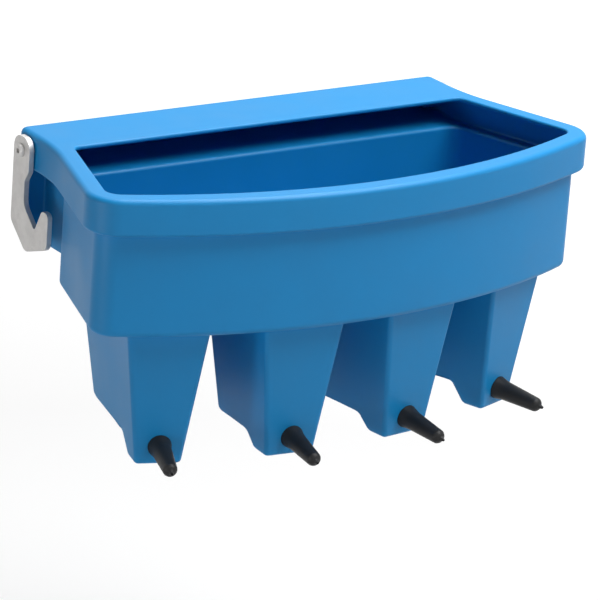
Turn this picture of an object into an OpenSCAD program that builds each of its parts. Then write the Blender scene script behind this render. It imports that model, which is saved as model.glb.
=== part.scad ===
// Multi teat lamb feeder: a hollow moulded tank with four pockets, rubber teats and two swinging gate hooks.
// Millimetres. X to the right, Y to the back (the gate side), Z up. Origin at the middle of the back face.

/* [Rim] */
// length of the rear flange from ear to ear
ear_span = 520; // [440:1:620]
// height of the rim band
rim_height = 39; // [34:1:48]
// how far the rim stands out past the tank wall
rim_overhang = 12; // [10:0.5:18]
// how far the flange lip reaches in from the outside of the tank wall
lip_inset = 9; // [6.5:0.5:9.5]
// radius on the upper outside edge of the rim
rim_top_radius = 6; // [3:0.5:8]
// radius on the lower outside edge of the rim
rim_low_radius = 4; // [2:0.5:6]
// radius of the two rear corners of the flange, seen from above
ear_corner = 8; // [7:0.5:12]
// radius of the hollow bend where each ear turns into the flared side
ear_bend = 200; // [120:10:240]

/* [Tank] */
// from the back face to the tank's rear wall
flange_depth = 72; // [62:1:84]
// from the back face to the middle of the tank's bowed front
tank_reach = 298; // [282:1:320]
// from the top of the rim to the underside of the tank
tank_height = 150; // [134:1:175]
// angle at which each side opens towards the front, in degrees
side_flare = 17.5; // [12:0.5:19]
// radius of the bowed front
bow_radius = 682; // [600:2:800]
// radius of the tank's front corners
front_corner = 25; // [20:1:34]
// radius of the tank's rear corners
rear_corner = 20; // [14:0.5:26]
// radius along the tank's lower edge
tank_low_radius = 7; // [4:0.5:8]
// thickness of the moulded wall
wall = 5; // [4:0.25:6]

/* [Apron] */
// from the top of the rim to the lower edge of the apron
apron_height = 130; // [105:1:138]
// thickness of the apron
apron_wall = 6; // [5:0.5:8]
// how far each side return stands in from the end of the back plate
return_inset = 20; // [8:0.5:28]

/* [Pockets] */
// distance between neighbouring pockets along the bow
pocket_pitch = 151; // [146:1:155]
// how far the pockets stand behind the tank's front at its underside
pocket_setback = 16; // [12:0.5:18]
// width of an end pocket's front face at the tank's underside
end_top_width = 86; // [76:1:89]
// width of an end pocket's front face at its foot
end_foot_width = 48; // [44:1:54]
// width of a middle pocket's front face at the tank's underside
middle_top_width = 91; // [80:1:93]
// width of a middle pocket's front face at its foot
middle_foot_width = 55; // [46:1:60]
// angle at which a pocket widens towards the back, in degrees
pocket_spread = 6.5; // [1:0.5:7]
// angle at which a pocket's front face leans back, in degrees
pocket_lean = 6; // [3:0.5:8]
// from the tank's underside to the lowest point of a pocket
pocket_drop = 149; // [130:1:165]
// front to back depth of the two end pockets
end_pocket_depth = 154; // [130:1:156]
// front to back depth of the two middle pockets
middle_pocket_depth = 116; // [100:1:122]
// angle at which a pocket's back wall draws in, in degrees
pocket_draft = 4; // [1:0.5:5]
// front to back length of the sump at a pocket's foot
sump_length = 25; // [20:0.5:28]
// rise of the sump's floor towards the back
sump_rise = 1.5; // [0.5:0.25:3]
// front to back run of the step behind the sump
step_run = 14; // [10:0.5:18]
// height of the step in the end pockets
end_step = 23.5; // [16:0.5:26]
// height of the step in the middle pockets
middle_step = 16.5; // [11:0.5:19]
// rise of the pocket floor from the step to the back wall
floor_rise = 3; // [2:0.5:8]
// radius of a pocket's upright corners
pocket_corner = 5; // [3:0.5:6]

/* [Teats] */
// height of a teat's centre above the pocket's lowest point
teat_height = 21; // [19:0.5:24]
// diameter of the teat hole
teat_hole = 16; // [14:0.5:17]
// diameter of the collar outside the wall
collar_diameter = 25; // [23:0.5:28]
// thickness of the collar
collar_thickness = 4; // [3:0.25:5]
// diameter of the flange inside the wall
flange_diameter = 21; // [19.5:0.25:22]
// thickness of the flange inside the wall
flange_thickness = 3; // [2:0.25:4]
// diameter of the teat next to the collar
teat_root = 21.5; // [19:0.5:22.5]
// diameter of the teat next to its rounded tip
teat_tip = 15.5; // [13:0.5:17]
// length of the teat outside the wall, without the nib
teat_length = 57; // [48:1:64]
// diameter of the nib on the tip
nib_diameter = 5; // [4:0.25:6]
// height of the nib
nib_height = 3.4; // [1:0.2:5]
// diameter of the milk passage
milk_bore = 8; // [6:0.25:9]
// diameter of the hole in the tip
tip_hole = 2; // [1.5:0.1:2.5]
// length of the thick end of the tip that holds the hole
tip_land = 6; // [5:0.5:8]
// squeeze of the rubber on the wall, on each face
rubber_squeeze = 0.1; // [0.05:0.01:0.2]

/* [Hooks] */
// thickness of the hook plate
hook_thickness = 6; // [5:0.25:8]
// from the back face to the pivot
pivot_inset = 21; // [19:0.5:24]
// from the top of the rim down to the pivot
pivot_drop = 19; // [17:0.25:21]
// pivot to the back edge of the plate
plate_back = 16; // [14:0.5:18]
// pivot up to the top of the head
head_top = 15; // [13:0.5:16]
// pivot to the front edge of the head
head_front = 19; // [17:0.5:22]
// pivot down to the head's lower front corner
head_low = 20; // [18:0.5:23]
// pivot to the front edge of the stem
stem_front = 12; // [10:0.5:14]
// pivot down to where the stem's front edge starts
stem_high = 31; // [28:0.5:34]
// pivot down to where the notch starts to slope
notch_high = 57; // [54:0.5:60]
// pivot to the bottom of the notch, forwards
notch_front = 33; // [30:0.5:36]
// pivot to the bottom of the notch, downwards
notch_low = 77.5; // [74:0.5:80]
// pivot to the prong's inner edge
prong_inner = 46; // [44:0.5:48]
// pivot to the prong's outer edge
prong_outer = 62; // [60:0.5:66]
// pivot down to the top of the prong
prong_high = 52; // [49:0.5:54]
// pivot down to the hook's front lower corner
toe_low = 91; // [88:0.5:95]
// pivot to the hook's lowest corner, forwards
heel_front = 16; // [13:0.5:20]
// pivot to the hook's lowest corner, downwards
heel_low = 107; // [103:0.5:111]
// pivot down to where the back edge turns
heel_high = 80; // [76:0.5:84]
// radius of the head's upper corners
head_radius = 13; // [9:0.5:13]
// radius of the prong's tip
prong_radius = 7.5; // [6:0.25:7.5]
// radius of the hook's lower corners
toe_radius = 8; // [5:0.5:9]
// radius of the other corners
inner_radius = 5; // [3:0.5:5]

/* [Fasteners] */
// diameter of the screw's thread
thread_diameter = 8; // [6:0.5:8]
// length of the screw's thread
thread_length = 14; // [12:0.5:15]
// diameter of the shoulder that the hook turns on
shoulder_diameter = 10; // [9.5:0.25:11]
// radial clearance of the hook on the shoulder
pivot_clearance = 0.05; // [0.02:0.01:0.09]
// clearance on each face of the hook plate
side_clearance = 0.1; // [0.05:0.05:0.3]
// diameter of the screw's head
head_diameter = 14; // [13.5:0.25:16]
// height of the screw's head
head_height = 4.4; // [4:0.1:5]
// radius of the screw head's rounded edge
head_round = 3.4; // [2.5:0.1:3.5]
// width of the hexagon socket across its flats
socket_flats = 5; // [4.5:0.25:5.5]
// depth of the hexagon socket
socket_depth = 2.8; // [2:0.1:3.2]
// diameter of the washer
washer_diameter = 20; // [18:0.5:20.5]
// thickness of the washer
washer_thickness = 1.5; // [1:0.1:2]
// diameter of the hole in the washer
washer_hole = 8.4; // [8.2:0.1:9]
// diameter of the threaded insert
insert_diameter = 12; // [11:0.25:13]
// length of the threaded insert
insert_length = 16; // [15.5:0.25:18]
// diameter of the boss around the insert
boss_diameter = 21; // [19:0.5:23]
// radial squeeze of the plastic on the insert
insert_squeeze = 0.02; // [0.01:0.01:0.04]
// radial clearance in the thread
thread_clearance = 0.02; // [0.01:0.01:0.04]

/* [Hidden] */
$fn = 48;

pocket_count = 4;
// how far a cut runs past the face that it opens
overrun = 4;
// points along each stretch of the outlines
rear_steps = 4;
bend_steps = 6;
corner_steps = 7;
bow_steps = 12;
round_steps = 3;
edge_steps = 3;
vertex_steps = 5;
tip_steps = 8;
// share of the straight side that carries the points facing the ear's bend
side_share = 0.5;
// share of its thickness that a wall runs into its neighbour
join_share = 0.5;
// length of a teat's rounded tip as a share of its diameter
dome_share = 0.45;
// share of the collar's thickness and of the nib's size that stays square
square_share = 0.5;

ear_half = ear_span / 2;
tank_half = ear_half - rim_overhang;
bow_y = bow_radius - tank_reach;
join = wall * join_share;
// the top of the rim, with the origin at the middle of the back face
top_z = apron_height / 2;

// centre of a front corner: one corner radius inside the flared side and inside the bow
flare_slope = tan(side_flare);
slope_square = 1 + flare_slope * flare_slope;
corner_x = tank_half - front_corner / cos(side_flare) - flare_slope * (flange_depth + bow_y);
corner_bow = bow_radius - front_corner;
corner_root = sqrt(slope_square * corner_bow * corner_bow - corner_x * corner_x);
corner_t = (corner_x * flare_slope - corner_root) / slope_square;
corner_c = [corner_x - flare_slope * corner_t, bow_y + corner_t];
corner_end = atan2(corner_t, corner_c[0]);
// centres of a rear corner of the tank and of the bend in front of an ear
half_slope = tan(side_flare / 2);
rear_c = [tank_half - rear_corner / cos(side_flare) + flare_slope * rear_corner, -flange_depth - rear_corner];
bend_end = -flange_depth + rim_overhang * half_slope;
bend_fit = min(ear_bend, (-bend_end - 2 * ear_corner) / half_slope);
bend_c = [ear_half + bend_fit, bend_end + bend_fit * half_slope];

// slopes and places of the pockets and their teats
pitch_angle = pocket_pitch / bow_radius * 180 / PI;
lean_slope = tan(pocket_lean);
draft_slope = tan(pocket_draft);
spread_slope = tan(pocket_spread);
teat_drop = pocket_drop - teat_height;

function polar(c, r, a) = c + r * [cos(a), sin(a)];
function arc(c, r, a, b, n) = [for (i = [0:n - 1]) polar(c, r, a + (b - a) * i / (n - 1))];
function bow(r) = [
    for (i = [1:bow_steps]) polar([0, bow_y], r, corner_end - (90 + corner_end) * i / bow_steps)
];
// a right-hand half outline, from the back to the middle of the front, and its mirror image
function both(half) = concat(half, [for (i = [len(half) - 2:-1:0]) [-half[i][0], half[i][1]]]);

// outline of the tank wall seen from above, moved out by d
function tank_line(d) =
    let (
        back = arc(rear_c, rear_corner + d, 90, side_flare, rear_steps),
        front = arc(corner_c, front_corner + d, side_flare, corner_end, corner_steps),
        p = back[rear_steps - 1],
        step = (front[0] - p) * side_share / bend_steps
    )
    both(concat(back, [for (i = [1:bend_steps]) p + step * i], front, bow(bow_radius + d)));

// outline of the rim seen from above, moved out by d
function rim_line(d) = both(concat(
    arc([ear_half - ear_corner, -ear_corner], ear_corner + d, 90, 0, rear_steps),
    arc(bend_c, bend_fit - d, 180, 180 + side_flare, bend_steps),
    arc(corner_c, front_corner + rim_overhang + d, side_flare, corner_end, corner_steps),
    bow(bow_radius + rim_overhang + d)
));

function at(line, z) = [for (p = line) [p[0], p[1], z]];
// how far a quarter round of radius r lies inside its corner at step i
function round_in(r, i) = r * (1 - sin(90 * i / round_steps));
function round_up(r, i) = r * (1 - cos(90 * i / round_steps));

// closed skin through rings with equally many points, each clockwise from above
module skin(rings) {
    n = len(rings[0]);
    last = len(rings) - 1;
    sides = [
        for (j = [0:last - 1], k = [0:n - 1])
            let (a = j * n + k, b = j * n + (k + 1) % n)
            each [[a, b, b + n], [a, b + n, a + n]]
    ];
    caps = [[for (k = [n - 1:-1:0]) k], [for (k = [0:n - 1]) last * n + k]];
    polyhedron([for (r = rings) each r], concat(sides, caps), convexity = 8);
}

// the skin runs up the outside, over the rim, under the lip and down the inside to the floor
module rim_and_tank() {
    under = wall - rim_height;
    skin(concat(
        [
            for (i = [0:round_steps])
                at(tank_line(-round_in(tank_low_radius, i)), round_up(tank_low_radius, i) - tank_height)
        ],
        [at(tank_line(0), -rim_height)],
        [
            for (i = [0:round_steps])
                at(rim_line(-round_in(rim_low_radius, i)), round_up(rim_low_radius, i) - rim_height)
        ],
        [
            for (i = [round_steps:-1:0])
                at(rim_line(-round_in(rim_top_radius, i)), -round_up(rim_top_radius, i))
        ],
        [at(tank_line(-lip_inset), 0), at(tank_line(-lip_inset), -wall)],
        [at(rim_line(-wall), -wall), at(rim_line(-wall), under)],
        [at(tank_line(-wall), under), at(tank_line(-wall), wall - tank_height)]
    ));
}

function at_end(i) = i == 1 || i == pocket_count;

// side view of pocket i, forwards from the bow and up from the tank's underside,
// clockwise from the top of its front face, which stands over the underside by head
function pocket_side(i, head) =
    let (
        depth = at_end(i) ? end_pocket_depth : middle_pocket_depth,
        step = at_end(i) ? end_step : middle_step,
        toe = [-pocket_setback - pocket_drop * lean_slope, -pocket_drop],
        heel = toe + [-sump_length, sump_rise],
        brink = heel + [-step_run, step],
        back = brink[1] + floor_rise
    )
    [
        [-pocket_setback + head * lean_slope, head],
        toe,
        heel,
        brink,
        [-pocket_setback - depth - back * draft_slope, back],
        [-pocket_setback - depth - head * draft_slope, head]
    ];

function unit(v) = v / norm(v);
// a line along the edge from p to q, moved to its right by t
function shifted(p, q, t) = let (u = unit(q - p)) [p + t * [u[1], -u[0]], u];
function cross2(u, v) = u[0] * v[1] - u[1] * v[0];
function meet(a, b) = a[0] + a[1] * cross2(b[0] - a[0], b[1]) / cross2(a[1], b[1]);
// a clockwise outline with every edge moved in by t
function inset(line, t) =
    let (n = len(line))
    [
        for (i = [0:n - 1])
            meet(shifted(line[(i + n - 1) % n], line[i], t), shifted(line[i], line[(i + 1) % n], t))
    ];

// the corner at b between a and c, rounded to radius r in n steps
function rounded(a, b, c, r, n) =
    let (
        u = unit(a - b),
        v = unit(c - b),
        half = acos(max(-1, min(1, u * v))) / 2,
        m = b + unit(u + v) * r / sin(half),
        s = b + u * r / tan(half) - m,
        e = b + v * r / tan(half) - m,
        turn = atan2(cross2(s, e), s * e),
        start = atan2(s[1], s[0])
    )
    [for (i = [0:n]) polar(m, r, start + turn * i / n)];
// a closed outline of [x, y, radius] corners with those corners rounded
function round_all(line, n) =
    let (k = len(line), flat = [for (p = line) [p[0], p[1]]])
    [for (i = [0:k - 1]) each rounded(flat[(i + k - 1) % k], flat[i], flat[(i + 1) % k], line[i][2], n)];

// half the width of pocket i at a point p of its side view, with its wall thinned on each side
function pocket_half(i, p, thin) =
    let (
        top = (at_end(i) ? end_top_width : middle_top_width) / 2,
        foot = (at_end(i) ? end_foot_width : middle_foot_width) / 2,
        narrowing = (top - foot) / pocket_drop + spread_slope * lean_slope,
        thinning = thin * norm([1, narrowing, spread_slope])
    )
    top + narrowing * p[1] - spread_slope * (p[0] + pocket_setback) - thinning;
// ring round pocket i between a front and a back point of its side view
function pocket_ring(i, front, back, thin) =
    let (
        f = pocket_half(i, front, thin),
        b = pocket_half(i, back, thin),
        slope = (back[1] - front[1]) / (back[0] - front[0]),
        line = [[b, -back[0]], [f, -front[0]], [-f, -front[0]], [-b, -back[0]]]
    )
    [
        for (p = round_all([for (c = line) concat(c, pocket_corner)], edge_steps))
            [p[0], p[1], front[1] - slope * (p[1] + front[0])]
    ];
// the solid of pocket i, from the side view of its outside or of its inside
module pocket_block(i, side, thin) {
    face = (side[0] - side[1]) / (side[0][1] - side[1][1]);
    front = function (z) side[1] + face * (z - side[1][1]);
    skin([
        pocket_ring(i, side[1], side[2], thin),
        pocket_ring(i, front(side[3][1]), side[3], thin),
        pocket_ring(i, front(side[4][1]), side[4], thin),
        pocket_ring(i, side[0], side[5], thin)
    ]);
}

// the place of pocket i: on the bow, facing straight out of it
module at_pocket(i) {
    translate([0, bow_y, -tank_height])
        rotate([0, 0, (i - (pocket_count + 1) / 2) * pitch_angle])
            translate([0, -bow_radius, 0])
                children();
}

// the place of teat i: on the leaning front face, +Z pointing out of it
module at_teat(i) {
    at_pocket(i)
        translate([0, pocket_setback + teat_drop * lean_slope, -teat_drop])
            rotate([90 + pocket_lean, 0, 0])
                children();
}

// the pivot of a hook at the side of its ear, +Z pointing out of it; side is -1 on the left
module at_pivot(side) {
    translate([side * ear_half, -pivot_inset, -pivot_drop])
        rotate([0, side * 90, 0])
            children();
}

// back plate and side returns under the flange, open at the bottom
module apron() {
    tall = apron_height - rim_height + join;
    deep = flange_depth + join - apron_wall * join_share;
    translate([-tank_half, -apron_wall, -apron_height])
        cube([2 * tank_half, apron_wall, tall]);
    for (side = [-1, 1])
        translate([side * (tank_half - return_inset - apron_wall / 2), -flange_depth - join, -apron_height])
            translate([-apron_wall / 2, 0, 0])
                cube([apron_wall, deep, tall]);
}

module feeder_shell() {
    inside = wall + overrun;
    color("SteelBlue") translate([0, 0, top_z]) difference() {
        union() {
            difference() {
                union() {
                    rim_and_tank();
                    for (i = [1:pocket_count]) at_pocket(i) pocket_block(i, pocket_side(i, join), 0);
                }
                for (i = [1:pocket_count])
                    at_pocket(i) pocket_block(i, inset(pocket_side(i, inside + wall), wall), wall);
            }
            apron();
            for (side = [-1, 1])
                at_pivot(side)
                    translate([0, 0, -insert_length - wall])
                        cylinder(d = boss_diameter, h = insert_length + wall - join);
        }
        for (i = [1:pocket_count])
            at_teat(i)
                translate([0, 0, -inside])
                    cylinder(d = teat_hole, h = inside + overrun);
        for (side = [-1, 1])
            at_pivot(side)
                translate([0, 0, -insert_length])
                    cylinder(d = insert_diameter, h = insert_length + overrun);
    }
}

// pull-through teat along +Z: flange inside the wall, neck in the hole, collar, tapered barrel, tip and nib
module teat(i) {
    inner = rubber_squeeze - wall;
    neck = teat_hole / 2 + rubber_squeeze;
    dome = teat_tip * dome_share;
    nib = nib_diameter / 2;
    profile = concat(
        [
            [0, inner - flange_thickness],
            [flange_diameter / 2, inner - flange_thickness],
            [flange_diameter / 2, inner],
            [neck, inner],
            [neck, -rubber_squeeze],
            [collar_diameter / 2, -rubber_squeeze],
            [collar_diameter / 2, collar_thickness * square_share],
            [teat_root / 2, collar_thickness]
        ],
        [
            for (k = [0:tip_steps])
                let (a = 90 * k / tip_steps, r = teat_tip / 2 * cos(a))
                if (r > nib) [r, teat_length - dome * (1 - sin(a))]
        ],
        [
            [nib, teat_length + nib_height * square_share],
            [nib * square_share, teat_length + nib_height],
            [0, teat_length + nib_height]
        ]
    );
    bore_start = inner - flange_thickness - overrun;
    color("DimGray") translate([0, 0, top_z]) at_teat(i) difference() {
        rotate_extrude() polygon(profile);
        translate([0, 0, bore_start])
            cylinder(d = milk_bore, h = teat_length - tip_land - bore_start);
        translate([0, 0, teat_length - tip_land - overrun])
            cylinder(d = tip_hole, h = tip_land + nib_height + 2 * overrun);
    }
}
module teat_1() { teat(1); }
module teat_2() { teat(2); }
module teat_3() { teat(3); }
module teat_4() { teat(4); }

// hook outline, forwards and down from the pivot: [x, y, radius] of each corner
hook_corners = [
    [-plate_back, -head_top, head_radius],
    [head_front, -head_top, head_radius],
    [head_front, head_low, inner_radius],
    [stem_front, stem_high, inner_radius],
    [stem_front, notch_high, inner_radius],
    [notch_front, notch_low, inner_radius],
    [prong_inner, prong_high, prong_radius],
    [prong_outer, prong_high, prong_radius],
    [prong_outer, toe_low, toe_radius],
    [heel_front, heel_low, toe_radius],
    [-plate_back, heel_high, toe_radius]
];

// the plate is drawn flat, then stood beside its ear
module hook(side) {
    inner = ear_half + washer_thickness + side_clearance;
    pivot_hole = shoulder_diameter + 2 * pivot_clearance;
    color("Silver")
        translate([side > 0 ? inner : -inner - hook_thickness, -pivot_inset, top_z - pivot_drop])
            rotate([0, 90, 0])
                rotate([0, 0, -90])
                    difference() {
                        linear_extrude(hook_thickness) polygon(round_all(hook_corners, vertex_steps));
                        translate([0, 0, -overrun])
                            cylinder(d = pivot_hole, h = hook_thickness + 2 * overrun);
                    }
}
module left_hook() { hook(-1); }
module right_hook() { hook(1); }

// button-head shoulder screw along the pivot, its thread towards the ear
module screw(side) {
    shoulder = hook_thickness + 2 * side_clearance;
    seat = washer_thickness + shoulder;
    crown = head_diameter / 2 - head_round;
    profile = concat(
        [[0, 0], [head_diameter / 2, 0]],
        arc([crown, head_height - head_round], head_round, 0, 90, tip_steps),
        [[0, head_height]]
    );
    color("Gainsboro") translate([0, 0, top_z]) at_pivot(side) difference() {
        union() {
            translate([0, 0, washer_thickness - thread_length])
                cylinder(d = thread_diameter, h = thread_length + shoulder * join_share);
            translate([0, 0, washer_thickness]) cylinder(d = shoulder_diameter, h = shoulder);
            translate([0, 0, seat]) rotate_extrude() polygon(profile);
        }
        translate([0, 0, seat + head_height - socket_depth])
            cylinder(d = socket_flats / cos(30), h = socket_depth + overrun, $fn = 6);
    }
}
module left_screw() { screw(-1); }
module right_screw() { screw(1); }

module washer(side) {
    color("LightGray") translate([0, 0, top_z]) at_pivot(side) difference() {
        cylinder(d = washer_diameter, h = washer_thickness);
        translate([0, 0, -overrun]) cylinder(d = washer_hole, h = washer_thickness + 2 * overrun);
    }
}
module left_washer() { washer(-1); }
module right_washer() { washer(1); }

// threaded insert, flush with the ear and pressed into its boss
module insert(side) {
    color("Goldenrod") translate([0, 0, top_z]) at_pivot(side) difference() {
        translate([0, 0, -insert_length])
            cylinder(d = insert_diameter + 2 * insert_squeeze, h = insert_length);
        translate([0, 0, -insert_length - overrun])
            cylinder(d = thread_diameter + 2 * thread_clearance, h = insert_length + 2 * overrun);
    }
}
module left_insert() { insert(-1); }
module right_insert() { insert(1); }

feeder_shell();
teat_1();
teat_2();
teat_3();
teat_4();
left_hook();
left_screw();
left_washer();
left_insert();
right_hook();
right_screw();
right_washer();
right_insert();
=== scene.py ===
"""Multi teat lamb feeder: a moulded tank with four pockets, rubber teats and two swinging gate hooks.

The frame is in metres. Pieces are drawn in millimetres under the rim's top, which is at height nought.
Named angles are in degrees.
"""
import math

import bmesh
import bpy
from mathutils import Matrix, Quaternion, Vector


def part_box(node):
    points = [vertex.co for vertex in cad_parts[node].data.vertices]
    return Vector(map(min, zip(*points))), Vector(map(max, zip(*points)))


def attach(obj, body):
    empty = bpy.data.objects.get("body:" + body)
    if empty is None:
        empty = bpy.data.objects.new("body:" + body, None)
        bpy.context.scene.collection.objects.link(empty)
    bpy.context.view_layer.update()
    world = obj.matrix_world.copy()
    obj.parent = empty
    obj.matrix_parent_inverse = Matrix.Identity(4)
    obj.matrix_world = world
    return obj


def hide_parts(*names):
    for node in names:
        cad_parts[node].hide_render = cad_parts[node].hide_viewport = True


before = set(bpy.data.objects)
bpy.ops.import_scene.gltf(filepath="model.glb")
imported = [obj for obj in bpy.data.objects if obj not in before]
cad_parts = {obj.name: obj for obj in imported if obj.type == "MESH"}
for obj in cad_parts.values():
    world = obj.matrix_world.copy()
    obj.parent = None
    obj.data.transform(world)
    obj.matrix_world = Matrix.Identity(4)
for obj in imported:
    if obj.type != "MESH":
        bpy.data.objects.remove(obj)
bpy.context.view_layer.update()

MM = 0.001
SHELL_LOW, SHELL_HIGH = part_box("feeder_shell")
# millimetres under the rim's top, turned into the frame's metres
TO_FRAME = Matrix.Translation((0, 0, SHELL_HIGH.z)) @ Matrix.Scale(MM, 4)

# Rim and tank
EAR_HALF = 260
RIM_HEIGHT = 39
RIM_OVERHANG = 12
LIP_INSET = 9
EAR_CORNER = 8
EAR_BEND = 200
FLANGE_DEPTH = 72
TANK_REACH = 298
TANK_HEIGHT = 150
SIDE_FLARE = 17.5
BOW_RADIUS = 682
FRONT_CORNER = 25
REAR_CORNER = 20
WALL = 5
# radii of the edges, from the tank's underside over the rim and down to its floor
UNDERSIDE_ROUND = 7
NECK_ROUND = 2.5
RIM_LOW_ROUND = 4
RIM_TOP_ROUND = 6
LIP_ROUND = 2.2
HOLLOW_ROUND = 3
LEDGE_ROUND = 4
FLOOR_ROUND = 4
# flat strips left beside the rounded lower edge and beside the rounded floor
UNDERSIDE_STRIP = 7.2
FLOOR_STRIP = 4.4

# Apron under the rear flange
APRON_HEIGHT = 130
APRON_WALL = 6
APRON_CORNER = 2.5
APRON_ROUND = 1.5
RETURN_INSET = 20
# how far the apron and the bosses reach into the shell, so that they join it
JOIN = WALL / 2

# Pockets
POCKET_COUNT = 4
POCKET_PITCH = 151
POCKET_SETBACK = 16
POCKET_DROP = 149
# angles at which the sides open towards the back, the front leans back and the back comes forwards
POCKET_SPREAD = 6.5
POCKET_LEAN = 6
POCKET_DRAFT = 4
SUMP_LENGTH = 25
SUMP_RISE = 1.5
STEP_RUN = 14
FLOOR_RISE = 3
END_TOP_WIDTH = 86
END_FOOT_WIDTH = 48
END_DEPTH = 154
END_STEP = 23.5
MIDDLE_TOP_WIDTH = 91
MIDDLE_FOOT_WIDTH = 55
MIDDLE_DEPTH = 116
MIDDLE_STEP = 16.5
POCKET_CORNER = 5
MOUTH_ROUND = 2
INNER_MOUTH_ROUND = 3
POCKET_ROUND = 4
# heights on the front face, over the foot, where the rings of the step and of the floor end
STEP_RING = 40
FLOOR_RING = 66

# Teats
# from the pocket's foot up to the middle of the teat
TEAT_HEIGHT = 21
TEAT_HOLE = 16
COLLAR_DIAMETER = 25
COLLAR_THICKNESS = 4
FLANGE_DIAMETER = 21
FLANGE_THICKNESS = 3
TEAT_ROOT = 21.5
TEAT_TIP = 15.5
TEAT_LENGTH = 57
NIB_DIAMETER = 5
NIB_HEIGHT = 3.4
MILK_BORE = 8
TIP_HOLE = 2
TIP_LAND = 6
RUBBER_SQUEEZE = 0.1
# height of the rounded tip, as a share of its diameter
DOME_SHARE = 0.45
# the collar is drawn out into the barrel in one hollow curve
COLLAR_EDGE = 0.8
FLARE_LENGTH = 13

# Hooks, and what they need to know of their screws, washers and inserts
HOOK_THICKNESS = 6
HOOK_EDGE = 0.6
PIVOT_INSET = 21
PIVOT_DROP = 19
# distances of the plate's edges from the pivot: back, front, inner and outer ones are level with it, and
# top, high and low ones are over or under it
PLATE_BACK = 16
HEAD_TOP = 15
HEAD_FRONT = 16
HEAD_LOW = 20
STEM_FRONT = 9
STEM_HIGH = 31
THROAT_LOW = 57
NOTCH_FRONT = 33
NOTCH_LOW = 77.5
PRONG_INNER = 46
PRONG_OUTER = 59
PRONG_HIGH = 52
TOE_LOW = 91
HEEL_FRONT = 16
HEEL_LOW = 106
HEEL_HIGH = 80
HEAD_ROUND = 13
PRONG_ROUND = 6
TOE_ROUND = 10
INNER_ROUND = 6
THROAT_ROUND = 16
NOTCH_ROUND = 3
# corners of the plate, forwards and down from the pivot, with their radii
HOOK_CORNERS = (
    (-PLATE_BACK, -HEAD_TOP, HEAD_ROUND),
    (HEAD_FRONT, -HEAD_TOP, HEAD_ROUND),
    (HEAD_FRONT, HEAD_LOW, INNER_ROUND),
    (STEM_FRONT, STEM_HIGH, INNER_ROUND),
    (STEM_FRONT, THROAT_LOW, THROAT_ROUND),
    (NOTCH_FRONT, NOTCH_LOW, NOTCH_ROUND),
    (PRONG_INNER, PRONG_HIGH, PRONG_ROUND),
    (PRONG_OUTER, PRONG_HIGH, PRONG_ROUND),
    (PRONG_OUTER, TOE_LOW, TOE_ROUND),
    (HEEL_FRONT, HEEL_LOW, TOE_ROUND),
    (-PLATE_BACK, HEEL_HIGH, TOE_ROUND),
)
SHOULDER_DIAMETER = 10
PIVOT_CLEARANCE = 0.05
SIDE_CLEARANCE = 0.1
WASHER_THICKNESS = 1.5
INSERT_DIAMETER = 12
INSERT_LENGTH = 16
BOSS_DIAMETER = 21

# How finely the curves are cut
REAR_STEPS = 6
BEND_STEPS = 10
CORNER_STEPS = 12
BOW_STEPS = 28
ROUND_STEPS = 5
HOOK_STEPS = 8
HOOK_EDGE_STEPS = 2
TEAT_STEPS = 10
TURN_STEPS = 64
# the rear share of the tank's straight side whose points pair off with those of the rim's bend
SIDE_SHARE = 0.5
# edges that turn by more than this stay sharp
SHARP_ANGLE = 38


def slope(degrees):
    return math.tan(math.radians(degrees))


def polar(centre, radius, degrees):
    angle = math.radians(degrees)
    return Vector(centre) + radius * Vector((math.cos(angle), math.sin(angle)))


def arc(centre, radius, start, end, steps):
    return [polar(centre, radius, start + (end - start) * i / steps) for i in range(steps + 1)]


def rounded(corners, steps):
    """A closed outline of (x, y, radius) corners, each drawn as an arc, or sharp at a radius of nought."""
    points = [Vector(corner[:2]) for corner in corners]
    outline = []
    for i, corner in enumerate(points):
        radius = corners[i][2]
        if radius == 0:
            outline.append(corner)
            continue
        before = (points[i - 1] - corner).normalized()
        after = (points[(i + 1) % len(points)] - corner).normalized()
        half = before.angle(after) / 2
        centre = corner + (before + after).normalized() * radius / math.sin(half)
        first = corner + before * radius / math.tan(half) - centre
        last = corner + after * radius / math.tan(half) - centre
        start = math.degrees(math.atan2(first.y, first.x))
        turn = math.degrees(math.atan2(first.cross(last), first.dot(last)))
        outline += arc(centre, radius, start, start + turn, steps)
    return outline


# Outlines seen from above

TANK_HALF = EAR_HALF - RIM_OVERHANG
BOW_CENTRE = (0, BOW_RADIUS - TANK_REACH)
FLARE = slope(SIDE_FLARE)
FLARE_COSINE = math.cos(math.radians(SIDE_FLARE))


def front_corner_centre():
    """One corner radius inside the flared side and inside the bow."""
    bow_y = BOW_CENTRE[1]
    reach = BOW_RADIUS - FRONT_CORNER
    across = TANK_HALF - FRONT_CORNER / FLARE_COSINE - FLARE * (FLANGE_DEPTH + bow_y)
    root = math.sqrt((1 + FLARE * FLARE) * reach * reach - across * across)
    along = (across * FLARE - root) / (1 + FLARE * FLARE)
    return Vector((across - FLARE * along, bow_y + along))


CORNER_CENTRE = front_corner_centre()
CORNER_END = math.degrees(math.atan2(CORNER_CENTRE.y - BOW_CENTRE[1], CORNER_CENTRE.x))
REAR_CENTRE = (
    TANK_HALF - REAR_CORNER / FLARE_COSINE + FLARE * REAR_CORNER,
    -FLANGE_DEPTH - REAR_CORNER,
)
BEND_END = -FLANGE_DEPTH + RIM_OVERHANG * slope(SIDE_FLARE / 2)
BEND_CENTRE = (EAR_HALF + EAR_BEND, BEND_END + EAR_BEND * slope(SIDE_FLARE / 2))


def with_mirror(half):
    """A right-hand half outline, from the back to the middle of the front, and its mirror image."""
    return half + [Vector((-p.x, p.y)) for p in half[-2::-1]]


def bow(radius):
    return arc(BOW_CENTRE, radius, CORNER_END, -90, BOW_STEPS)[1:]


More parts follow.
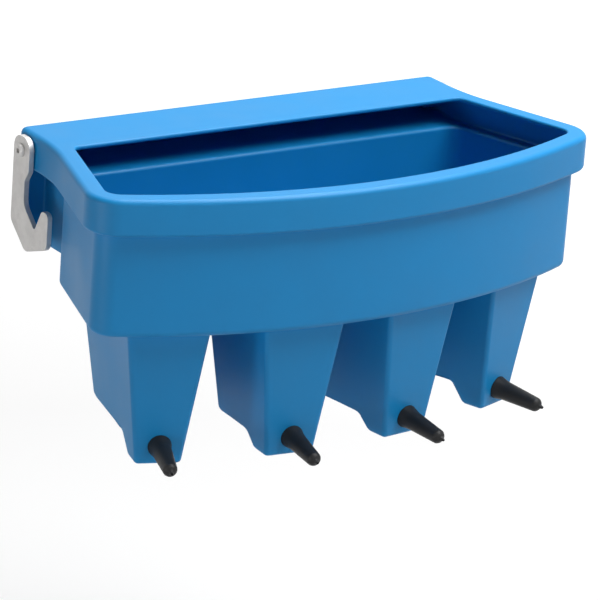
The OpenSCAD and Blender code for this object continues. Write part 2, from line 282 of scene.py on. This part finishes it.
def tank_outline(grow=0.0):
    back = arc(REAR_CENTRE, REAR_CORNER + grow, 90, SIDE_FLARE, REAR_STEPS)
    front = arc(CORNER_CENTRE, FRONT_CORNER + grow, SIDE_FLARE, CORNER_END, CORNER_STEPS)
    side = [back[-1].lerp(front[0], SIDE_SHARE * i / BEND_STEPS) for i in range(1, BEND_STEPS + 2)]
    return with_mirror(back + side + front + bow(BOW_RADIUS + grow))


def rim_outline(grow=0.0):
    ear = arc((EAR_HALF - EAR_CORNER, -EAR_CORNER), EAR_CORNER + grow, 90, 0, REAR_STEPS)
    bend = arc(BEND_CENTRE, EAR_BEND - grow, 180, 180 + SIDE_FLARE, BEND_STEPS)
    out = RIM_OVERHANG + grow
    front = arc(CORNER_CENTRE, FRONT_CORNER + out, SIDE_FLARE, CORNER_END, CORNER_STEPS)
    return with_mirror(ear + bend + front + bow(BOW_RADIUS + out))


# Meshes

def at_height(outline, height):
    return [(p.x, p.y, height) for p in outline]


def loop_edges(bm, ring):
    return [bm.edges.get(pair) for pair in zip(ring, ring[1:] + ring[:1])]


def draw_ring(bm, points):
    ring = [bm.verts.new(point) for point in points]
    for pair in zip(ring, ring[1:] + ring[:1]):
        bm.edges.new(pair)
    return ring


def extrude_ring(bm, ring, points):
    """Extrudes a ring into a wall that ends at the given points."""
    made = bmesh.ops.extrude_edge_only(bm, edges=loop_edges(bm, ring))["geom"]
    fresh = {item for item in made if isinstance(item, bmesh.types.BMVert)}
    end = [next(e.other_vert(v) for e in v.link_edges if e.other_vert(v) in fresh) for v in ring]
    for vert, point in zip(end, points):
        vert.co = point
    return end


def bevel(bm, edges, radius, segments):
    bmesh.ops.bevel(
        bm, geom=edges, offset=radius, offset_type="OFFSET", segments=segments,
        profile=0.5, affect="EDGES", loop_slide=False, material=-1,
    )


def revolve(bm, profile):
    """A closed profile of (radius, height) points, turned once round the Z axis."""
    ring = draw_ring(bm, [(radius, 0, height) for radius, height in profile])
    bmesh.ops.spin(
        bm, geom=ring + loop_edges(bm, ring), cent=(0, 0, 0), axis=(0, 0, 1),
        angle=2 * math.pi, steps=TURN_STEPS, use_merge=True,
    )


def add_piece(name, bm):
    """An object at the origin, from a mesh drawn in millimetres under the rim's top."""
    bmesh.ops.recalc_face_normals(bm, faces=bm.faces)
    bm.transform(TO_FRAME)
    mesh = bpy.data.meshes.new(name)
    bm.to_mesh(mesh)
    bm.free()
    piece = bpy.data.objects.new(name, mesh)
    bpy.context.scene.collection.objects.link(piece)
    return piece


def combine(piece, bm, operation):
    """Joins a second solid to a piece, or cuts it out."""
    tool = add_piece(operation.lower() + "_tool", bm)
    modifier = piece.modifiers.new(operation, "BOOLEAN")
    modifier.operation = operation
    modifier.solver = "EXACT"
    modifier.object = tool
    shape = piece.evaluated_get(bpy.context.evaluated_depsgraph_get())
    mesh = bpy.data.meshes.new_from_object(shape)
    piece.modifiers.clear()
    piece.data = mesh
    bpy.data.objects.remove(tool)


def smooth_shade(piece):
    """Flat faces stay flat and rounded edges turn smoothly."""
    piece.data.shade_smooth()
    piece.data.set_sharp_from_angle(angle=math.radians(SHARP_ANGLE))
    normals = piece.modifiers.new("even_shading", "WEIGHTED_NORMAL")
    normals.keep_sharp = True


def dress(piece, body, material, slot, *nodes):
    """Shading, finish and place of a new piece that stands for CAD nodes."""
    smooth_shade(piece)
    piece.data.materials.append(material)
    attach(piece, body)
    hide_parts(*nodes)


# Tank, rim, apron and pockets

LEAN = slope(POCKET_LEAN)
DRAFT = slope(POCKET_DRAFT)
SPREAD = slope(POCKET_SPREAD)
TEAT_DROP = POCKET_DROP - TEAT_HEIGHT


def pocket_place(i):
    """The place of pocket i on the bow, at the tank's underside, facing straight out."""
    turn = (i - (POCKET_COUNT + 1) / 2) * POCKET_PITCH / BOW_RADIUS
    return (
        Matrix.Translation((*BOW_CENTRE, -TANK_HEIGHT))
        @ Matrix.Rotation(turn, 4, "Z")
        @ Matrix.Translation((0, -BOW_RADIUS, 0))
    )


def teat_place(i):
    """The middle of a pocket's teat hole, with +Z pointing out of the leaning front face."""
    return (
        pocket_place(i)
        @ Matrix.Translation((0, POCKET_SETBACK + TEAT_DROP * LEAN, -TEAT_DROP))
        @ Matrix.Rotation(math.radians(90 + POCKET_LEAN), 4, "X")
    )


def pivot_place(side):
    """A hook's pivot on the outside of its ear, with +Z pointing out; side is -1 on the left."""
    place = Matrix.Translation((side * EAR_HALF, -PIVOT_INSET, -PIVOT_DROP))
    return place @ Matrix.Rotation(math.radians(side * 90), 4, "Y")


def at_end(i):
    return i in (1, POCKET_COUNT)


def pocket_side(i, head):
    """Side view of a pocket, forwards and up: front top, toe, heel, brink of the step, back, back top."""
    depth = END_DEPTH if at_end(i) else MIDDLE_DEPTH
    toe = Vector((-POCKET_SETBACK - POCKET_DROP * LEAN, -POCKET_DROP))
    heel = toe + Vector((-SUMP_LENGTH, SUMP_RISE))
    brink = heel + Vector((-STEP_RUN, END_STEP if at_end(i) else MIDDLE_STEP))
    back = brink.y + FLOOR_RISE
    return [
        Vector((-POCKET_SETBACK + head * LEAN, head)),
        toe,
        heel,
        brink,
        Vector((-POCKET_SETBACK - depth - back * DRAFT, back)),
        Vector((-POCKET_SETBACK - depth - head * DRAFT, head)),
    ]


def inset(outline, distance):
    """A clockwise outline with every edge moved in."""
    edges = []
    for i, end in enumerate(outline):
        along = (end - outline[i - 1]).normalized()
        edges.append((end + distance * Vector((along.y, -along.x)), along))
    moved = []
    for i, (point, along) in enumerate(edges):
        other, other_along = edges[(i + 1) % len(edges)]
        moved.append(point + along * (other - point).cross(other_along) / along.cross(other_along))
    return moved


def on_line(foot, head, height):
    return foot.lerp(head, (height - foot.y) / (head.y - foot.y))


def half_width(i, point, thin):
    """Half the width of pocket i at a point of its side view, with its wall thinned on each side."""
    top, foot = (END_TOP_WIDTH, END_FOOT_WIDTH) if at_end(i) else (MIDDLE_TOP_WIDTH, MIDDLE_FOOT_WIDTH)
    narrowing = (top - foot) / 2 / POCKET_DROP + SPREAD * LEAN
    thinning = thin * Vector((1, narrowing, SPREAD)).length
    return top / 2 + narrowing * point.y - SPREAD * (point.x + POCKET_SETBACK) - thinning


def pocket_ring(i, front, back, thin, corner=POCKET_CORNER):
    """A ring round pocket i, between a front and a back point of its side view."""
    front_half, back_half = (half_width(i, p, thin) for p in (front, back))
    outline = rounded(
        (
            (back_half, -back.x, corner),
            (front_half, -front.x, corner),
            (-front_half, -front.x, corner),
            (-back_half, -back.x, corner),
        ),
        ROUND_STEPS,
    )
    rise = (back.y - front.y) / (back.x - front.x)
    return [(p.x, p.y, front.y - rise * (p.y + front.x)) for p in outline]


def pocket_skin(bm, i, side, thin, level, mouth_round):
    """One face of pocket i's wall, from its rounded mouth down to its foot. Returns the mouth's edges."""
    front_top, toe, heel, brink, back, back_top = side
    rings = []
    for k in range(ROUND_STEPS + 1):
        turn = math.radians(90 * k / ROUND_STEPS)
        spare = mouth_round * (1 - math.sin(turn))
        height = level - mouth_round * (1 - math.cos(turn))
        front_point = on_line(toe, front_top, height) + Vector((spare, 0))
        back_point = on_line(back, back_top, height) - Vector((spare, 0))
        rings.append(pocket_ring(i, front_point, back_point, thin - spare, POCKET_CORNER + spare))
    floor = ((FLOOR_RING, back), (STEP_RING, brink), (0, heel))
    for rise, back_point in floor:
        rings.append(pocket_ring(i, on_line(toe, front_top, toe.y + rise), back_point, thin))
    placed = [[pocket_place(i) @ Vector(p) for p in ring] for ring in rings]
    mouth = draw_ring(bm, placed[0])
    walls = [mouth]
    for ring in placed[1:]:
        walls.append(extrude_ring(bm, walls[-1], ring))
    bmesh.ops.contextual_create(bm, geom=loop_edges(bm, walls[-1]))
    for ring in walls[-len(floor):]:
        bevel(bm, loop_edges(bm, ring), POCKET_ROUND, ROUND_STEPS)
    return loop_edges(bm, mouth)


def tank_skin(bm):
    """Up the outside, over the rim, under its lip and down the inside. Returns the first and last ring."""
    under = WALL - RIM_HEIGHT
    floor = WALL - TANK_HEIGHT
    courses = (
        (tank_outline(), -TANK_HEIGHT, UNDERSIDE_ROUND),
        (tank_outline(), -RIM_HEIGHT, NECK_ROUND),
        (rim_outline(), -RIM_HEIGHT, RIM_LOW_ROUND),
        (rim_outline(), 0, RIM_TOP_ROUND),
        (tank_outline(-LIP_INSET), 0, LIP_ROUND),
        (tank_outline(-LIP_INSET), -WALL, LIP_ROUND),
        (rim_outline(-WALL), -WALL, HOLLOW_ROUND),
        (rim_outline(-WALL), under, HOLLOW_ROUND),
        (tank_outline(-WALL), under, LEDGE_ROUND),
        (tank_outline(-WALL), floor, FLOOR_ROUND),
    )
    first = draw_ring(bm, at_height(tank_outline(-UNDERSIDE_STRIP), -TANK_HEIGHT))
    rings = [first]
    for outline, height, _ in courses:
        rings.append(extrude_ring(bm, rings[-1], at_height(outline, height)))
    last = extrude_ring(bm, rings[-1], at_height(tank_outline(-WALL - FLOOR_STRIP), floor))
    for ring, (_, _, radius) in zip(rings[1:], courses):
        bevel(bm, loop_edges(bm, ring), radius, ROUND_STEPS)
    return loop_edges(bm, first), loop_edges(bm, last)


def apron(bm):
    """Back plate and two side returns under the flange, open below."""
    end = TANK_HALF - RETURN_INSET
    reach = -FLANGE_DEPTH - JOIN
    half = (
        (TANK_HALF, 0, APRON_CORNER),
        (TANK_HALF, -APRON_WALL, APRON_CORNER),
        (end, -APRON_WALL, APRON_CORNER),
        (end, reach, 0),
        (end - APRON_WALL, reach, 0),
        (end - APRON_WALL, -APRON_WALL, APRON_CORNER),
    )
    outline = rounded(half + tuple((-x, y, radius) for x, y, radius in half[::-1]), ROUND_STEPS)
    foot = draw_ring(bm, at_height(outline, -APRON_HEIGHT))
    head = extrude_ring(bm, foot, at_height(outline, JOIN - RIM_HEIGHT))
    bmesh.ops.contextual_create(bm, geom=loop_edges(bm, head))
    bmesh.ops.contextual_create(bm, geom=loop_edges(bm, foot))
    bevel(bm, loop_edges(bm, foot), APRON_ROUND, ROUND_STEPS)


def rod(bm, place, diameter, start, end):
    """A round bar along the Z axis of a place."""
    middle = Matrix.Translation((0, 0, (start + end) / 2))
    bmesh.ops.create_cone(
        bm, cap_ends=True, segments=TURN_STEPS, radius1=diameter / 2, radius2=diameter / 2,
        depth=end - start, matrix=place @ middle,
    )


def feeder_moulding():
    bm = bmesh.new()
    underside, floor = tank_skin(bm)
    for i in range(1, POCKET_COUNT + 1):
        outside = pocket_side(i, head=0)
        underside += pocket_skin(bm, i, outside, thin=0, level=0, mouth_round=MOUTH_ROUND)
        inside = inset(pocket_side(i, head=2 * WALL), WALL)
        floor += pocket_skin(bm, i, inside, thin=WALL, level=WALL, mouth_round=INNER_MOUTH_ROUND)
    bmesh.ops.triangle_fill(bm, use_beauty=True, edges=underside)
    bmesh.ops.triangle_fill(bm, use_beauty=True, edges=floor)
    piece = add_piece("feeder_moulding", bm)

    added = bmesh.new()
    apron(added)
    for side in (-1, 1):
        rod(added, pivot_place(side), BOSS_DIAMETER, -INSERT_LENGTH - WALL, -JOIN)
    combine(piece, added, "UNION")

    holes = bmesh.new()
    for i in range(1, POCKET_COUNT + 1):
        rod(holes, teat_place(i), TEAT_HOLE, -2 * WALL, WALL)
    for side in (-1, 1):
        rod(holes, pivot_place(side), INSERT_DIAMETER, -INSERT_LENGTH, WALL)
    combine(piece, holes, "DIFFERENCE")
    return piece


# Teats

def teat_profile():
    """Half section of a pull-through teat: bore, flange, neck, collar, barrel, tip and nib."""
    inner = RUBBER_SQUEEZE - WALL
    start = inner - FLANGE_THICKNESS
    dome = TEAT_TIP * DOME_SHARE
    nib = NIB_DIAMETER / 2
    taper = (TEAT_ROOT - TEAT_TIP) / 2 / (TEAT_LENGTH - dome - COLLAR_THICKNESS)
    tip = [
        (TEAT_TIP / 2 * math.cos(turn), TEAT_LENGTH - dome * (1 - math.sin(turn)))
        for turn in (math.radians(90 * k / TEAT_STEPS) for k in range(TEAT_STEPS + 1))
    ]
    flare = []
    for k in range(TEAT_STEPS + 1):
        share = k / TEAT_STEPS
        height = COLLAR_EDGE + share * (FLARE_LENGTH - COLLAR_EDGE)
        barrel = TEAT_ROOT / 2 - taper * (height - COLLAR_THICKNESS)
        flare.append((barrel + (COLLAR_DIAMETER / 2 - barrel) * (1 - share) ** 2, height))
    return [
        (MILK_BORE / 2, start),
        (FLANGE_DIAMETER / 2, start),
        (FLANGE_DIAMETER / 2, inner),
        (TEAT_HOLE / 2 + RUBBER_SQUEEZE, inner),
        (TEAT_HOLE / 2 + RUBBER_SQUEEZE, -RUBBER_SQUEEZE),
        (COLLAR_DIAMETER / 2, -RUBBER_SQUEEZE),
        *flare,
        *[p for p in tip if p[0] > nib],
        (nib, TEAT_LENGTH),
        (nib / 2, TEAT_LENGTH + NIB_HEIGHT),
        (TIP_HOLE / 2, TEAT_LENGTH + NIB_HEIGHT),
        (TIP_HOLE / 2, TEAT_LENGTH - TIP_LAND),
        (MILK_BORE / 2, TEAT_LENGTH - TIP_LAND),
    ]


def rubber_teat(i):
    bm = bmesh.new()
    revolve(bm, teat_profile())
    bm.transform(teat_place(i))
    return add_piece(f"rubber_teat_{i}", bm)


# Hooks and fasteners

def hook_plate(name, side):
    bm = bmesh.new()
    outline = rounded(HOOK_CORNERS, HOOK_STEPS)
    back = draw_ring(bm, at_height(outline, 0))
    front = extrude_ring(bm, back, at_height(outline, HOOK_THICKNESS))
    for ring in (back, front):
        bmesh.ops.contextual_create(bm, geom=loop_edges(bm, ring))
    for ring in (back, front):
        bevel(bm, loop_edges(bm, ring), HOOK_EDGE, HOOK_EDGE_STEPS)
    inner = EAR_HALF + WASHER_THICKNESS + SIDE_CLEARANCE
    left_face = inner if side > 0 else -inner - HOOK_THICKNESS
    stand = Matrix.Translation((left_face, -PIVOT_INSET, -PIVOT_DROP))
    # forwards turns to -Y, down to -Z and the thickness to +X
    turn = Matrix.Rotation(math.radians(90), 4, "Y") @ Matrix.Rotation(math.radians(-90), 4, "Z")
    bm.transform(stand @ turn)
    plate = add_piece(name, bm)
    hole = bmesh.new()
    rod(hole, pivot_place(side), SHOULDER_DIAMETER + 2 * PIVOT_CLEARANCE, 0, 4 * HOOK_THICKNESS)
    combine(plate, hole, "DIFFERENCE")
    return plate


# Finishes

# sizes of the patterns, and the heights that their bumps stand for
CLOUD_SIZE = 70
PEEL_SIZE = 3
PEEL_HEIGHT = 0.3
BLOOM_SIZE = 9
# the rubber's real grain is about half a millimetre, too fine to show, so it is drawn coarser
GRAIN_SIZE = 2.5
GRAIN_HEIGHT = 0.1
SPANGLE_SIZE = 7
SPANGLE_SHARE = 0.3
PATCH_SIZE = 12
PATCH_HEIGHT = 0.2
TARNISH_SIZE = 4


def linear(hex_colour):
    """An sRGB hex colour as linear RGBA."""
    parts = [int(hex_colour[i:i + 2], 16) / 255 for i in (1, 3, 5)]
    return [c / 12.92 if c <= 0.04045 else ((c + 0.055) / 1.055) ** 2.4 for c in parts] + [1.0]


def per_mm(size):
    """The scale of a pattern whose features are that many millimetres across."""
    return 1 / (size * MM)


def add_node(tree, kind, inputs=None, **settings):
    made = tree.nodes.new(kind)
    for name, value in settings.items():
        setattr(made, name, value)
    for socket, value in (inputs or {}).items():
        if isinstance(value, bpy.types.NodeSocket):
            tree.links.new(value, made.inputs[socket])
        else:
            made.inputs[socket].default_value = value
    return made


def new_material(name):
    material = bpy.data.materials.new(name)
    material.use_nodes = True
    material.node_tree.nodes.clear()
    return material, material.node_tree


def rotomoulded_polyethylene():
    """Pigmented polyethylene, melted against a blasted mould: an even satin with faint clouds and peel."""
    material, tree = new_material("rotomoulded_polyethylene")
    place = add_node(tree, "ShaderNodeTexCoord").outputs["Object"]
    clouds = add_node(
        tree, "ShaderNodeTexNoise", {"Vector": place, "Scale": per_mm(CLOUD_SIZE), "Detail": 2.0}
    )
    peel = add_node(
        tree, "ShaderNodeTexNoise", {"Vector": place, "Scale": per_mm(PEEL_SIZE), "Detail": 2.0}
    )
    colour = add_node(
        tree, "ShaderNodeMix",
        {"Factor": clouds.outputs["Fac"], "A": linear("#0881BF"), "B": linear("#0C88C8")},
        data_type="RGBA",
    )
    gloss = add_node(
        tree, "ShaderNodeMapRange",
        {
            "Value": clouds.outputs["Fac"], "From Min": 0.3, "From Max": 0.7,
            "To Min": 0.44, "To Max": 0.52,
        },
    )
    bump = add_node(
        tree, "ShaderNodeBump",
        {"Height": peel.outputs["Fac"], "Strength": 0.08, "Distance": PEEL_HEIGHT * MM},
    )
    shader = add_node(
        tree, "ShaderNodeBsdfPrincipled",
        {
            "Base Color": colour.outputs["Result"], "Roughness": gloss.outputs["Result"],
            "IOR": 1.51, "Specular IOR Level": 0.35, "Normal": bump.outputs["Normal"],
        },
    )
    add_node(tree, "ShaderNodeOutputMaterial", {"Surface": shader.outputs["BSDF"]})
    return material


def moulded_rubber():
    """Black rubber from a polished mould: dark, with a soft sheen and a trace of dusty bloom."""
    material, tree = new_material("moulded_rubber")
    place = add_node(tree, "ShaderNodeTexCoord").outputs["Object"]
    bloom = add_node(
        tree, "ShaderNodeTexNoise", {"Vector": place, "Scale": per_mm(BLOOM_SIZE), "Detail": 4.0}
    )
    grain = add_node(
        tree, "ShaderNodeTexNoise", {"Vector": place, "Scale": per_mm(GRAIN_SIZE), "Detail": 2.0}
    )
    colour = add_node(
        tree, "ShaderNodeMix",
        {"Factor": bloom.outputs["Fac"], "A": linear("#0E0F11"), "B": linear("#1A1B1D")},
        data_type="RGBA",
    )
    gloss = add_node(
        tree, "ShaderNodeMapRange", {"Value": bloom.outputs["Fac"], "To Min": 0.38, "To Max": 0.6}
    )
    bump = add_node(
        tree, "ShaderNodeBump",
        {"Height": grain.outputs["Fac"], "Strength": 0.15, "Distance": GRAIN_HEIGHT * MM},
    )
    shader = add_node(
        tree, "ShaderNodeBsdfPrincipled",
        {
            "Base Color": colour.outputs["Result"], "Roughness": gloss.outputs["Result"],
            "IOR": 1.52, "Specular IOR Level": 0.28, "Normal": bump.outputs["Normal"],
        },
    )
    add_node(tree, "ShaderNodeOutputMaterial", {"Surface": shader.outputs["BSDF"]})
    return material


def galvanised_plate():
    """Hot dip zinc on a cut steel plate: dull and pale, with soft patches of brighter and greyer zinc."""
    material, tree = new_material("galvanised_plate")
    place = add_node(tree, "ShaderNodeTexCoord").outputs["Object"]
    spangle = add_node(tree, "ShaderNodeTexVoronoi", {"Vector": place, "Scale": per_mm(SPANGLE_SIZE)})
    cloud = add_node(
        tree, "ShaderNodeTexNoise", {"Vector": place, "Scale": per_mm(PATCH_SIZE), "Detail": 4.0}
    )
    patch = add_node(
        tree, "ShaderNodeMix",
        {"Factor": SPANGLE_SHARE, "A": cloud.outputs["Fac"], "B": spangle.outputs["Color"]},
        data_type="FLOAT",
    )
    colour = add_node(
        tree, "ShaderNodeMix",
        {"Factor": patch.outputs["Result"], "A": linear("#BEBCBA"), "B": linear("#E0DEDC")},
        data_type="RGBA",
    )
    gloss = add_node(
        tree, "ShaderNodeMapRange", {"Value": patch.outputs["Result"], "To Min": 0.5, "To Max": 0.38}
    )
    bump = add_node(
        tree, "ShaderNodeBump",
        {"Height": cloud.outputs["Fac"], "Strength": 0.1, "Distance": PATCH_HEIGHT * MM},
    )
    shader = add_node(
        tree, "ShaderNodeBsdfPrincipled",
        {
            "Base Color": colour.outputs["Result"], "Roughness": gloss.outputs["Result"],
            "Metallic": 0.35, "Normal": bump.outputs["Normal"],
        },
    )
    add_node(tree, "ShaderNodeOutputMaterial", {"Surface": shader.outputs["BSDF"]})
    return material


def turned_brass():
    """Brass bar turned on a lathe: warm and bright, with small cloudy stains of tarnish."""
    material, tree = new_material("turned_brass")
    place = add_node(tree, "ShaderNodeTexCoord").outputs["Object"]
    tarnish = add_node(
        tree, "ShaderNodeTexNoise", {"Vector": place, "Scale": per_mm(TARNISH_SIZE), "Detail": 3.0}
    )
    colour = add_node(
        tree, "ShaderNodeMix",
        {"Factor": tarnish.outputs["Fac"], "A": linear("#A8863C"), "B": linear("#C7A452")},
        data_type="RGBA",
    )
    shader = add_node(
        tree, "ShaderNodeBsdfPrincipled",
        {"Base Color": colour.outputs["Result"], "Roughness": 0.32, "Metallic": 1.0},
    )
    add_node(tree, "ShaderNodeOutputMaterial", {"Surface": shader.outputs["BSDF"]})
    return material


polyethylene = rotomoulded_polyethylene()
rubber = moulded_rubber()
zinc_plate = galvanised_plate()
brass = turned_brass()

dress(feeder_moulding(), "feeder", polyethylene, "polyethylene", "feeder_shell")
for number in range(1, POCKET_COUNT + 1):
    dress(rubber_teat(number), "feeder", rubber, "teat_rubber", f"teat_{number}")
for name, side in (("left", -1), ("right", 1)):
    plate = hook_plate(f"{name}_hook_plate", side)
    dress(plate, f"{name}_hook", zinc_plate, "hook_plate", f"{name}_hook")
    for node_name, finish in (("screw", zinc_plate), ("washer", zinc_plate), ("insert", brass)):
        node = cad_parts[f"{name}_{node_name}"]
        node.data.materials.clear()
        node.data.materials.append(finish)


# Camera, light and floor

# the point that the camera faces, its angles, its distance and its lens, fitted to the photograph
CAMERA_TARGET = Vector((-4.7, -163.9, -171.7))
CAMERA_AZIMUTH = -34.72
CAMERA_ELEVATION = 19.68
CAMERA_ROLL = 4.24
CAMERA_DISTANCE = 4447
CAMERA_LENS = 254.25
# the feeder hangs with its teats at a lamb's height over the floor; the stage is in metres
FLOOR_DROP = 0.45
FLOOR_HALF = 20
FLOOR_COLOUR = "#B6B6B6"
# white that is added to what is seen of the floor, near and far off, and the metres between which it grows
GLOW_NEAR, GLOW_FAR = 0.5, 1.0
GLOW_START, GLOW_END = 1.0, 3.0
# level of the low band of light in the room, and where it fades from front to back and from low to high,
# given as parts of a direction of length one
BAND_LEVEL = 4.5
BAND_FRONT, BAND_BACK = -0.4, 0.5
BAND_FOOT, BAND_TOP = -0.02, 0.13
SOFTBOX_DISTANCE = 3.0
# azimuth and elevation, diameter, watts
SOFTBOXES = {
    "key_softbox": (36, 58, 1.8, 75),
    "overhead_softbox": (120, 72, 1.8, 85),
    "side_softbox": (-85, -4, 0.7, 13),
}


def away(azimuth, elevation):
    """Direction from the object: turned from its front, and up from the horizon."""
    turn, rise = math.radians(azimuth), math.radians(elevation)
    return Vector((math.sin(turn) * math.cos(rise), -math.cos(turn) * math.cos(rise), math.sin(rise)))


def photo_camera():
    data = bpy.data.cameras.new("photo_camera")
    data.lens = CAMERA_LENS
    camera = bpy.data.objects.new("photo_camera", data)
    back = away(CAMERA_AZIMUTH, CAMERA_ELEVATION)
    camera.location = TO_FRAME @ CAMERA_TARGET + back * CAMERA_DISTANCE * MM
    camera.rotation_mode = "QUATERNION"
    roll = Quaternion((0, 0, 1), math.radians(CAMERA_ROLL))
    camera.rotation_quaternion = (-back).to_track_quat("-Z", "Y") @ roll
    bpy.context.scene.collection.objects.link(camera)
    bpy.context.scene.camera = camera


def softbox(name, azimuth, elevation, diameter, power):
    """A round soft lamp that faces the object."""
    data = bpy.data.lights.new(name, "AREA")
    data.shape = "DISK"
    data.size = diameter
    data.energy = power
    lamp = bpy.data.objects.new(name, data)
    direction = away(azimuth, elevation)
    lamp.location = (SHELL_LOW + SHELL_HIGH) / 2 + direction * SOFTBOX_DISTANCE
    lamp.rotation_mode = "QUATERNION"
    lamp.rotation_quaternion = direction.to_track_quat("Z", "Y")
    bpy.context.scene.collection.objects.link(lamp)


def seen(tree):
    """One for what the camera sees, also in metal or through glass, and nought for what gives light."""
    path = add_node(tree, "ShaderNodeLightPath")
    direct = add_node(
        tree, "ShaderNodeMath",
        {0: path.outputs["Is Camera Ray"], 1: path.outputs["Is Glossy Ray"]},
        operation="MAXIMUM",
    )
    every = add_node(
        tree, "ShaderNodeMath",
        {0: direct.outputs[0], 1: path.outputs["Is Transmission Ray"]},
        operation="MAXIMUM",
    )
    return every.outputs[0]


def studio_world():
    """A low band of light along the front of the room. What is seen of the room is white all round."""
    world = bpy.data.worlds.new("studio")
    world.use_nodes = True
    tree = world.node_tree
    tree.nodes.clear()
    direction = add_node(tree, "ShaderNodeTexCoord").outputs["Generated"]
    axes = add_node(tree, "ShaderNodeSeparateXYZ", {"Vector": direction})
    ahead = add_node(
        tree, "ShaderNodeMapRange",
        {
            "Value": axes.outputs["Y"], "From Min": BAND_FRONT, "From Max": BAND_BACK,
            "To Min": BAND_LEVEL, "To Max": 0.0,
        },
        interpolation_type="SMOOTHSTEP",
    )
    low = add_node(
        tree, "ShaderNodeMapRange",
        {
            "Value": axes.outputs["Z"], "From Min": BAND_FOOT, "From Max": BAND_TOP,
            "To Min": 1.0, "To Max": 0.0,
        },
        interpolation_type="SMOOTHSTEP",
    )
    band = add_node(
        tree, "ShaderNodeMath", {0: ahead.outputs["Result"], 1: low.outputs["Result"]},
        operation="MULTIPLY",
    )
    level = add_node(
        tree, "ShaderNodeMix", {"Factor": seen(tree), "A": band.outputs[0], "B": 1.0},
        data_type="FLOAT",
    )
    light = add_node(
        tree, "ShaderNodeBackground", {"Color": (1, 1, 1, 1), "Strength": level.outputs["Result"]}
    )
    add_node(tree, "ShaderNodeOutputWorld", {"Surface": light.outputs[0]})
    bpy.context.scene.world = world


def pale_floor():
    """Pale paper that takes the object's shadow, and is seen as white where the lamps don't reach it."""
    bm = bmesh.new()
    bmesh.ops.create_grid(bm, x_segments=1, y_segments=1, size=FLOOR_HALF / MM)
    floor = add_piece("floor", bm)
    floor.location.z = SHELL_LOW.z - FLOOR_DROP - SHELL_HIGH.z
    material, tree = new_material("white_paper")
    place = add_node(tree, "ShaderNodeTexCoord").outputs["Object"]
    distance = add_node(tree, "ShaderNodeVectorMath", {0: place}, operation="LENGTH")
    falloff = add_node(
        tree, "ShaderNodeMapRange",
        {
            "Value": distance.outputs["Value"], "From Min": GLOW_START, "From Max": GLOW_END,
            "To Min": GLOW_NEAR, "To Max": GLOW_FAR,
        },
    )
    strength = add_node(
        tree, "ShaderNodeMath", {0: seen(tree), 1: falloff.outputs["Result"]},
        operation="MULTIPLY",
    )
    paper = add_node(tree, "ShaderNodeBsdfDiffuse", {"Color": linear(FLOOR_COLOUR)})
    glow = add_node(tree, "ShaderNodeEmission", {"Strength": strength.outputs[0]})
    both = add_node(tree, "ShaderNodeAddShader", {0: paper.outputs[0], 1: glow.outputs[0]})
    add_node(tree, "ShaderNodeOutputMaterial", {"Surface": both.outputs[0]})
    floor.data.materials.append(material)


photo_camera()
studio_world()
pale_floor()
for lamp_name, lamp in SOFTBOXES.items():
    softbox(lamp_name, *lamp)
bpy.context.scene.view_settings.view_transform = "Standard"
